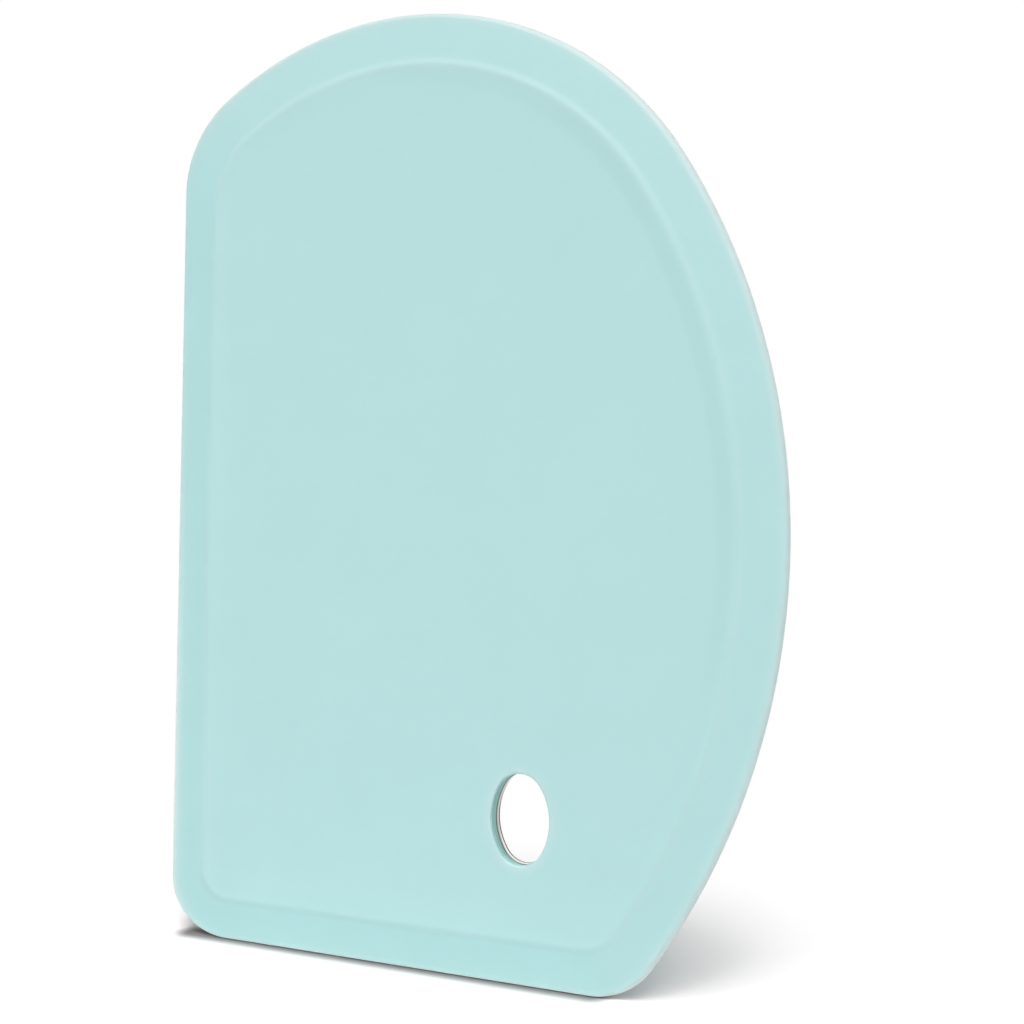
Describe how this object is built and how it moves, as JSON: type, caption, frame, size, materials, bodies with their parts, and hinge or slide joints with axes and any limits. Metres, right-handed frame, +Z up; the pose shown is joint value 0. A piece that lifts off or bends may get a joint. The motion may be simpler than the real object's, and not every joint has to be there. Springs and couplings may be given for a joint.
{
  "type": "bowl scraper",
  "caption": "D-shaped bowl scraper: a soft, tapered silicone blade moulded over a thin steel plate, with an oval hanging hole.",
  "frame": {"origin": "under the middle of the overall width, at the level of the short straight edge that the scraper stands on, midway through its thickness", "axes": "+Z up the long straight edge, +X from that edge towards the curved side, -Y out of the front face"},
  "size_m": [0.104, 0.0036, 0.15],
  "materials": {
    "silicone": "fine matte",
    "steel": "satin, cut edge"
  },
  "bodies": {
    "root": {"silicone_cover": "silicone", "steel_core": "steel"}
  },
  "joints": []
}
